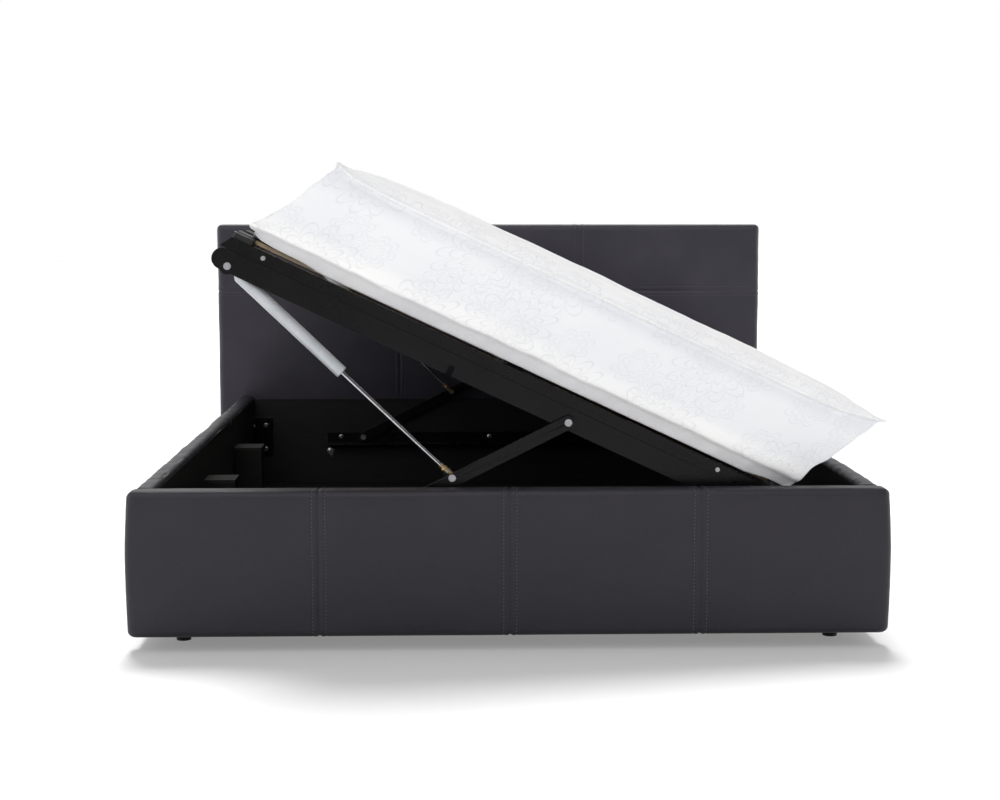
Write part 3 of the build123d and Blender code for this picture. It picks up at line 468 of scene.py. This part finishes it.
def dress_nodes():
    """Each CAD node gets its slot's material, and the bigger steel pieces get a small bevel."""
    for part in frame["record"]["subparts"]:
        node = NODES[part["node"]]
        node.data.materials.clear()
        node.data.materials.append(SLOT_MATERIALS[part["material_slot"]])
        if part["material_slot"] in ("black_steel", "dark_panel", "slat_wood"):
            weld = node.modifiers.new("weld", "WELD")
            weld.merge_threshold = 0.00002
            bevel = node.modifiers.new("bevel", "BEVEL")
            bevel.width, bevel.segments = 0.0012, 2
            bevel.limit_method, bevel.angle_limit = "ANGLE", math.radians(40)


# Upholstered panels

def seam_depth(across, along, seed, strength=1.0):
    """Height of the leather over a flat-felled seam: a centre valley between two stitched grooves."""
    line = np.stack([along, along * 0, along * 0], axis=1)
    pucker = 1 + 0.4 * ripple(line, 0.011, seed)
    edge = np.abs(across)
    valley = -2.6 * MM * bell(across, 3.6 * MM) * pucker
    grooves = -1.1 * MM * bell(edge - STITCH_OFFSET, 2.4 * MM) * pucker
    band = 0.5 * MM * (1 - smooth_step(edge, 12 * MM, 22 * MM))
    return (valley + grooves + band) * strength


def field_crown(value, stops, power=2.6):
    """1 in the middle of each field between stops and 0 at the stops."""
    result = np.zeros(len(value))
    for low, high in zip(stops, stops[1:]):
        inside = (value >= low) & (value <= high)
        share = (value - low) / (high - low)
        result = np.where(inside, 1 - np.abs(2 * share - 1) ** power, result)
    return result


def foot_panel_shape(points, lift=0.0):
    """Soft foot panel: four crowned fields, sewn seams over the edges, sides swollen half way up."""
    low, high = (-FOOT_HALF, FOOT_FACE, FLOOR_GAP), (FOOT_HALF, PANEL_BACK, RIM)
    placed, outward = rounded(points, low, high, FOOT_ROUND)
    x, z = points[:, 0], points[:, 2]
    front = np.clip(-outward[:, 1], 0, 1)
    stops = (-FOOT_HALF, *FOOT_SEAMS, FOOT_HALF)
    tall = (z - FLOOR_GAP) / (RIM - FLOOR_GAP)
    height = 3.2 * MM * field_crown(x, stops) * (1 - np.abs(2 * tall - 1) ** 3) * front
    for index, seam in enumerate(FOOT_SEAMS):
        height += seam_depth(x - seam, z + points[:, 1], index + 1) * (outward[:, 1] < 0.6)
    height += 0.9 * MM * ripple(points, 0.085, 4, (1.6, 1, 0.7)) * front
    height += 0.35 * MM * ripple(points, 0.022, 5, (2.5, 1, 1.0)) * (0.3 + 0.7 * front)
    pull = bell(FOOT_HALF - np.abs(x), 0.06) * bell(RIM - z, 0.05)
    height += -1.6 * MM * pull * np.abs(ripple(points, 0.016, 6, (1, 1, 2.5)))
    side = np.sign(x) * smooth_step(np.abs(x), 0.72, FOOT_HALF)
    placed[:, 0] += side * 3.5 * MM * (1 - np.abs(2 * tall - 1) ** 2)
    placed[:, 0] -= side * 3.0 * MM * smooth_step(tall, 0.55, 1.0)
    return placed + outward * (height + lift)[:, None]


def side_rail_shape(sign):
    """Soft side rail: a rounded top roll with folds across it and slight hollows along it."""
    low, high = (RAIL_LINING, NEAR_WALL, FLOOR_GAP), (RAIL_OUTER, HEADBOARD_FACE, RIM)

    def shape(points, lift=0.0):
        placed, outward = rounded(points, low, high, RAIL_ROUND)
        y, z = points[:, 1], points[:, 2]
        top = smooth_step(z, 0.29, RIM)
        tall = (z - FLOOR_GAP) / (RIM - FLOOR_GAP)
        line = np.stack([y, y * 0, y * 0], axis=1)
        ends = smooth_step(y, NEAR_WALL, NEAR_WALL + RAIL_END)
        ends *= 1 - smooth_step(y, HEADBOARD_FACE - RAIL_END, HEADBOARD_FACE)
        height = 2.2 * MM * (1 - np.abs(2 * tall - 1) ** 3) * np.clip(outward[:, 0], 0, 1)
        height += 3.0 * MM * ripple(line, 0.23, 11 + sign) * top
        folds = ripple(points, 0.045, 13 + sign, (2.0, 1.0, 2.0))
        height += 1.6 * MM * folds * top
        creases = 1 - np.abs(ripple(points, 0.060, 17 + sign, (1.2, 1.0, 1.5)))
        height -= 1.8 * MM * np.clip(creases - 0.86, 0, 1) / 0.14 * top
        height += 0.8 * MM * ripple(points, 0.09, 19 + sign) * (1 - top)
        result = placed + outward * (height * ends + lift)[:, None]
        result[:, 0] *= sign
        return result

    return shape


def headboard_shape(points, lift=0.0):
    """Soft headboard: six crowned fields between a cross seam and two upright seams."""
    low = (-HEADBOARD_HALF, HEADBOARD_FACE, FLOOR_GAP)
    high = (HEADBOARD_HALF, HEADBOARD_LINING, HEADBOARD_TOP)
    placed, outward = rounded(points, low, high, HEADBOARD_ROUND)
    x, z = points[:, 0], points[:, 2]
    front = np.clip(-outward[:, 1], 0, 1)
    wide = field_crown(x, (-HEADBOARD_HALF, *HEADBOARD_SEAMS, HEADBOARD_HALF))
    tall = field_crown(z, (0.30, HEADBOARD_SEAM_HEIGHT, HEADBOARD_TOP))
    height = 4.0 * MM * wide * tall * front
    upper = smooth_step(z, RIM - 0.02, RIM + 0.02)
    for index, seam in enumerate(HEADBOARD_SEAMS):
        depth = seam_depth(x - seam, z + points[:, 1], index + 21, HEADBOARD_SEAM_STRENGTH)
        height += depth * (outward[:, 1] < 0.6) * upper
    depth = seam_depth(z - HEADBOARD_SEAM_HEIGHT, x, 25, HEADBOARD_SEAM_STRENGTH)
    height += depth * (outward[:, 1] < 0.6)
    height += 1.2 * MM * ripple(points, 0.11, 26, (1.4, 1, 0.8)) * front * upper
    height += 0.4 * MM * ripple(points, 0.026, 27, (2.0, 1, 1.2)) * upper
    side = smooth_step(np.abs(x), 0.80, HEADBOARD_HALF)
    placed[:, 0] += np.sign(x) * 2.5 * MM * ripple(points, 0.16, 28, (9, 9, 1)) * side * upper
    return placed + outward * (height + lift)[:, None]


def upholster(name, node, shape, xs, ys, zs, leather=LEATHER):
    """A closed leather cover over a grid on its box, in place of its CAD node."""
    points, faces, _ = box_grid(xs, ys, zs)
    moved = shape(points)
    # A mirrored shape gets its faces turned outwards again
    if moved[:, 0].mean() < -0.1 and points[:, 0].mean() > 0.1:
        faces = [face[::-1] for face in faces]
    cover = build_mesh(name, moved, faces, leather, "base")
    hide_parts(node)


def surface_path(shape, corners, step=1.5 * MM):
    """Points and outward directions along a line drawn on a panel's box and carried to its surface."""
    flat = []
    for start, end in zip(corners, corners[1:]):
        start, end = np.array(start), np.array(end)
        count = max(2, int(np.linalg.norm(end - start) / step))
        flat += [start + (end - start) * index / count for index in range(count)]
    flat = np.array(flat)
    on = shape(flat)
    above = shape(flat, 1 * MM)
    return on, (above - on) / MM


def stitch_row(points, outward, pitch=8.0 * MM, length=5.8 * MM, radius=0.75 * MM):
    """Points and faces of a row of thread stitches along a path."""
    steps = np.linalg.norm(np.diff(points, axis=0), axis=1)
    run = np.concatenate([[0], np.cumsum(steps)])
    verts, faces = [], []
    rings, around = 6, 6
    start = pitch / 2
    while start + length < run[-1]:
        first = len(verts)
        for ring in range(rings):
            share = ring / (rings - 1)
            at = start + length * share
            centre = np.array([np.interp(at, run, points[:, axis]) for axis in range(3)])
            away = np.array([np.interp(at, run, outward[:, axis]) for axis in range(3)])
            ahead = np.array([np.interp(at + 0.5 * MM, run, points[:, axis]) for axis in range(3)]) - centre
            ahead /= max(np.linalg.norm(ahead), 1e-9)
            side = np.cross(ahead, away)
            thick = radius * (0.35 + 0.65 * math.sin(math.pi * share) ** 0.5)
            centre = centre + away * (radius * (1.5 * math.sin(math.pi * share) - 0.8))
            for turn in range(around):
                angle = 2 * math.pi * turn / around
                verts.append(centre + side * thick * math.cos(angle) + away * thick * math.sin(angle))
        for ring in range(rings - 1):
            for turn in range(around):
                after = (turn + 1) % around
                low, high = first + ring * around, first + (ring + 1) * around
                faces.append((low + turn, low + after, high + after, high + turn))
        faces.append(tuple(first + turn for turn in reversed(range(around))))
        faces.append(tuple(first + (rings - 1) * around + turn for turn in range(around)))
        start += pitch
    return verts, faces


def sew(name, rows):
    """One piece that holds several rows of stitches."""
    verts, faces = [], []
    for points, outward in rows:
        more_verts, more_faces = stitch_row(points, outward)
        faces += [tuple(index + len(verts) for index in face) for face in more_faces]
        verts += more_verts
    build_mesh(name, verts, faces, THREAD, "base")


def with_edge_lines(xs, half, steps):
    """Grid lines with more of them at these steps, in mm, inside both ends."""
    return sorted(set(xs) | {sign * (half - step * MM) for sign in (-1, 1) for step in steps})


def add_upholstery():
    foot_xs = lines(-FOOT_HALF, FOOT_HALF, 6 * MM, 1.6 * MM, FOOT_SEAMS, SEAM_REACH)
    foot_xs = with_edge_lines(foot_xs, FOOT_HALF, (2, 4, 7, 10))
    foot_zs = lines(FLOOR_GAP, RIM, 6 * MM, 3 * MM, (FLOOR_GAP, RIM), 30 * MM)
    upholster("foot_panel_leather", "foot_panel_cover", foot_panel_shape, foot_xs,
              lines(FOOT_FACE, PANEL_BACK, 4 * MM), foot_zs)
    rows = []
    for seam in FOOT_SEAMS:
        for offset in (-STITCH_OFFSET, STITCH_OFFSET):
            x = seam + offset
            corners = [(x, FOOT_FACE, FLOOR_GAP), (x, FOOT_FACE, RIM), (x, PANEL_BACK, RIM)]
            rows.append(surface_path(foot_panel_shape, corners))
    sew("foot_panel_stitches", rows)
    for name, sign in (("left", -1), ("right", 1)):
        upholster(f"{name}_rail_leather", f"{name}_rail_cover", side_rail_shape(sign),
                  lines(RAIL_LINING, RAIL_OUTER, 3.5 * MM), lines(NEAR_WALL, HEADBOARD_FACE, 9 * MM),
                  lines(FLOOR_GAP, RIM, 10 * MM, 4 * MM, (FLOOR_GAP, RIM), 45 * MM))
    board_xs = lines(-HEADBOARD_HALF, HEADBOARD_HALF, 8 * MM, 1.8 * MM, HEADBOARD_SEAMS, SEAM_REACH)
    board_zs = lines(FLOOR_GAP, HEADBOARD_TOP, 8 * MM, 1.8 * MM, (HEADBOARD_SEAM_HEIGHT,), SEAM_REACH)
    board_xs = with_edge_lines(board_xs, HEADBOARD_HALF, (3, 5, 11))
    upholster("headboard_leather", "headboard_cover", headboard_shape, board_xs,
              lines(HEADBOARD_FACE, HEADBOARD_LINING, 5 * MM), board_zs, HEADBOARD_LEATHER_PAINTED_LIGHTER)
    rows = []
    for offset in (-STITCH_OFFSET, STITCH_OFFSET):
        for seam in HEADBOARD_SEAMS:
            corners = [(seam + offset, HEADBOARD_FACE, RIM), (seam + offset, HEADBOARD_FACE, HEADBOARD_TOP),
                       (seam + offset, HEADBOARD_LINING, HEADBOARD_TOP)]
            rows.append(surface_path(headboard_shape, corners))
        z = HEADBOARD_SEAM_HEIGHT + offset
        corners = [(-HEADBOARD_HALF, HEADBOARD_LINING, z), (-HEADBOARD_HALF, HEADBOARD_FACE, z),
                   (HEADBOARD_HALF, HEADBOARD_FACE, z), (HEADBOARD_HALF, HEADBOARD_LINING, z)]
        rows.append(surface_path(headboard_shape, corners))
    sew("headboard_stitches", rows)


# Mattress

def off_platform(u, y, v):
    """Points given along the platform and square to it, in the part's own X, Y and Z."""
    cos, sin = math.cos(PLATFORM_TILT), math.sin(PLATFORM_TILT)
    x = PLATFORM_ORIGIN[0] + u * cos + v * sin
    z = PLATFORM_ORIGIN[1] - u * sin + v * cos
    return np.stack([x, y, z], axis=1)


# Share of the height, and how many mm the border stands out there
SIDE_PROFILE = (
    (0.00, -14.0), (0.05, -12.0), (0.09, -9.0), (0.115, -1.0), (0.15, 1.0), (0.20, 0.0), (0.27, -3.0),
    (0.35, -6.0), (0.60, -6.5), (0.78, -6.0), (0.835, -8.0), (0.865, -12.0), (0.89, -5.0), (0.93, -3.0),
    (1.00, -12.0),
)
# Side, end, and how many mm the corner is pulled out at its top and at its bottom
CORNER_EARS = (("left", "near", 9, 15), ("right", "near", 12, 2), ("left", "far", 14, 10),
               ("right", "far", 12, 6))


def mattress_shape(points):
    """Slack sprung mattress: rolled top and bottom edges, seams, pulled corners and a crowned top."""
    a, b, c = points[:, 0], points[:, 1], points[:, 2]
    wide, long, tall = a / MATTRESS_WIDTH, b / MATTRESS_LENGTH, c / MATTRESS_THICKNESS
    heights, offsets = zip(*SIDE_PROFILE)
    out = np.interp(tall, heights, offsets) * MM
    gaps = {"left": a, "right": MATTRESS_WIDTH - a, "near": b, "far": MATTRESS_LENGTH - b}
    skin = {side: np.clip(1 - gap / (45 * MM), 0, 1) ** 2 for side, gap in gaps.items()}
    edge = np.minimum(np.minimum(gaps["left"], gaps["right"]), np.minimum(gaps["near"], gaps["far"]))
    ends = np.minimum(gaps["near"], gaps["far"])
    base = 1 - smooth_step(tall, 0.0, 0.10)
    level = smooth_step(tall, 0.88, 1.0)
    waist = bell(tall - 0.24, 0.16)
    u = a + (0.35 * out + 7 * MM * waist) * -skin["left"] + (0.35 * out - 9 * MM * waist) * skin["right"]
    y = b + out * (skin["far"] - skin["near"])
    v = MATTRESS_BOTTOM + c
    crown = (1 - np.abs(2 * wide - 1) ** 7) * (1 - np.abs(2 * long - 1) ** 7)
    v += level * CROWN_RISE * np.clip(crown, 0, 1) ** 0.8
    corner = np.exp(-np.minimum(gaps["left"], gaps["right"]) / 0.05) * np.exp(-ends / 0.05)
    v -= level * TOP_EDGE_DROP * np.exp(-(edge / 0.015)) * (1 - corner)
    v += CORNER_LIFT * bell(tall - 0.87, 0.10) * corner
    middle = smooth_step(a, 0.12, 0.19) * (1 - smooth_step(a, 1.20, 1.25))
    v -= END_SAG * base * (1 - smooth_step(ends, 0.018, 0.042)) * middle
    near = 1 - smooth_step(gaps["near"], 0.03, 0.10)
    v += LOW_CORNER_LIFT * base * np.exp(-gaps["left"] / 0.028) * near
    for side, end, top_reach, low_reach in CORNER_EARS:
        near_corner = np.exp(-gaps[side] / 0.024) * np.exp(-gaps[end] / 0.024)
        ear = near_corner * (bell(tall - 0.96, 0.055) * top_reach + bell(tall - 0.12, 0.055) * low_reach) * MM
        u += ear * (1 if side == "right" else -1)
        y += 0.5 * ear * (1 if end == "far" else -1)
    spread = np.stack([u, y, v], axis=1)
    wrinkle = 1.2 * MM * ripple(spread, 0.034, 31) + 2.4 * MM * ripple(spread, 0.130, 32)
    seams = bell(tall - 0.865, 0.05) + bell(tall - 0.10, 0.05)
    pucker = 1.5 * MM * seams * ripple(spread, 0.012, 33, (1.0, 1.0, 2.5))
    hang = (1 - smooth_step(tall, 0.06, 0.13)) * 3.4 * MM * ripple(spread, 0.018, 36, (1.0, 1.0, 2.0))
    v += 3.5 * MM * bell(tall - 0.11, 0.06) * ripple(spread, 0.090, 37)
    flutter = 3.4 * MM * ripple(spread, 0.026, 34, (3.0, 3.0, 1.0)) * (1 - np.abs(2 * tall - 1) ** 2)
    face = wrinkle * 0.8 + pucker + hang
    on = {side: np.clip(1 - gap / (20 * MM), 0, 1) for side, gap in gaps.items()}
    y += face * (on["far"] - on["near"])
    u += (face + flutter) * (on["right"] - on["left"])
    v += level * (wrinkle + 2.4 * MM * ripple(spread, 0.16, 35)) * smooth_step(edge, 0.0, 0.04)
    u = MATTRESS_LEFT + u + MATTRESS_LEAN * (v - MATTRESS_BOTTOM) / MATTRESS_THICKNESS
    return off_platform(u, y + MATTRESS_NEAR, v)


def cloth_map(mesh, points, faces, sides):
    """Flat cloth coordinates in metres on each side, so that the pattern keeps its size."""
    layer = mesh.uv_layers.new(name="cloth")
    axes = {"z": (0, 1), "y": (0, 2), "x": (1, 2)}
    values = []
    for face, side in zip(faces, sides):
        first, second = axes[side]
        for index in face:
            values += [points[index][first] + (3.0 if side == "x" else 0.0),
                       points[index][second] + (6.0 if side == "z" else 0.0)]
    layer.data.foreach_set("uv", values)


def add_mattress():
    ends = (0.0, MATTRESS_WIDTH)
    xs = lines(0.0, MATTRESS_WIDTH, 11 * MM, 5 * MM, ends, 60 * MM)
    ys = lines(0.0, MATTRESS_LENGTH, 22 * MM, 5 * MM, (0.0, MATTRESS_LENGTH), 60 * MM)
    zs = lines(0.0, MATTRESS_THICKNESS, 5 * MM)
    points, faces, sides = box_grid(xs, ys, zs)
    mattress = build_mesh("mattress_soft", mattress_shape(points), faces, MATTRESS, "platform")
    cloth_map(mattress.data, points, faces, sides)
    subdivision = mattress.modifiers.new("smooth", "SUBSURF")
    subdivision.levels = subdivision.render_levels = 1
    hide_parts("mattress")


# Floor, light and camera

FLOOR_GLOW = 0.24


def seen_ray(tree):
    """1 for camera, glossy and transmission rays, else 0."""
    path = add(tree, "ShaderNodeLightPath")
    found = math_node(tree, "MAXIMUM", path.outputs["Is Camera Ray"], path.outputs["Is Glossy Ray"])
    return math_node(tree, "MAXIMUM", found, path.outputs["Is Transmission Ray"])


def add_floor():
    bpy.ops.mesh.primitive_plane_add(size=60)
    floor = bpy.context.object
    floor.name = "floor"
    made = bpy.data.materials.new("floor")
    made.use_nodes = True
    tree = made.node_tree
    tree.nodes.remove(tree.nodes["Principled BSDF"])
    matt = add(tree, "ShaderNodeBsdfDiffuse", {"Color": rgb(0.92, 0.92, 0.92)})
    glow = add(tree, "ShaderNodeEmission", {"Color": rgb(1, 1, 1), "Strength": 1.0})
    share = math_node(tree, "MULTIPLY", seen_ray(tree), FLOOR_GLOW)
    both = add(tree, "ShaderNodeMixShader", {0: share, 1: matt.outputs["BSDF"], 2: glow.outputs["Emission"]})
    tree.links.new(both.outputs["Shader"], tree.nodes["Material Output"].inputs["Surface"])
    floor.data.materials.append(made)
    return floor


def add_world():
    """White to the camera. What lights the object, and what it mirrors, is dimmer from the foot's side."""
    world = bpy.data.worlds.new("studio")
    bpy.context.scene.world = world
    world.use_nodes = True
    tree = world.node_tree
    background = tree.nodes["Background"]
    background.inputs["Color"].default_value = rgb(1, 1, 1)
    around = add(tree, "ShaderNodeTexCoord").outputs["Generated"]
    direction = add(tree, "ShaderNodeSeparateXYZ", {"Vector": around})
    light = span(tree, direction.outputs["Y"], 0.30, 0.62, -0.9, 0.3)
    path = add(tree, "ShaderNodeLightPath")
    seen = math_node(tree, "MAXIMUM", path.outputs["Is Camera Ray"], path.outputs["Is Transmission Ray"])
    mirrored = span(tree, direction.outputs["Y"], 0.12, 1.0, -0.7, 0.4)
    sideways = math_node(tree, "ABSOLUTE", direction.outputs["X"])
    mirrored = math_node(tree, "ADD", mirrored, span(tree, sideways, 0.0, 2.2, 0.72, 0.98))
    light = add(tree, "ShaderNodeMix", {0: path.outputs["Is Glossy Ray"], 2: light, 3: mirrored}).outputs[0]
    unseen = math_node(tree, "SUBTRACT", 1.0, seen)
    strength = math_node(tree, "ADD", math_node(tree, "MULTIPLY", light, unseen), seen)
    tree.links.new(strength, background.inputs["Strength"])


def add_sun(name, strength, angle, rotation, colour=(1, 1, 1)):
    light = bpy.data.lights.new(name, "SUN")
    light.energy, light.angle, light.color = strength, math.radians(angle), colour
    made = bpy.data.objects.new(name, light)
    bpy.context.scene.collection.objects.link(made)
    made.rotation_euler = [math.radians(value) for value in rotation]
    return made


def add_lights(floor):
    add_sun("key", 1.0, 28, (-31, 0, 8))
    fill = add_sun("fill", 1.08, 50, (50, 0, -6))
    unlit = bpy.data.collections.new("not lit by fill")
    unlit.objects.link(floor)
    fill.light_linking.receiver_collection = unlit
    unlit.collection_objects[0].light_linking.link_state = "EXCLUDE"
    side = add_sun("side", 0.4, 40, (35, -50, 0), (0.80, 0.84, 1.0))
    side.light_linking.receiver_collection = unlit
    floor_key = add_sun("floor key", 3.0, 24, (-29, 0, 4))
    lit = bpy.data.collections.new("lit by the floor key")
    lit.objects.link(floor)
    floor_key.light_linking.receiver_collection = lit


def add_camera():
    camera = bpy.data.objects.new("camera", bpy.data.cameras.new("camera"))
    bpy.context.scene.collection.objects.link(camera)
    camera.data.lens, camera.data.sensor_width = 62.38, 36
    camera.location = (-0.1271, -4.6996, 0.9333)
    camera.rotation_euler = [math.radians(value) for value in (83.94, 0.0, -1.638)]
    bpy.context.scene.camera = camera


add_camera()
dress_nodes()
add_upholstery()
add_mattress()
add_world()
add_lights(add_floor())
bpy.context.scene.view_settings.view_transform = "Standard"
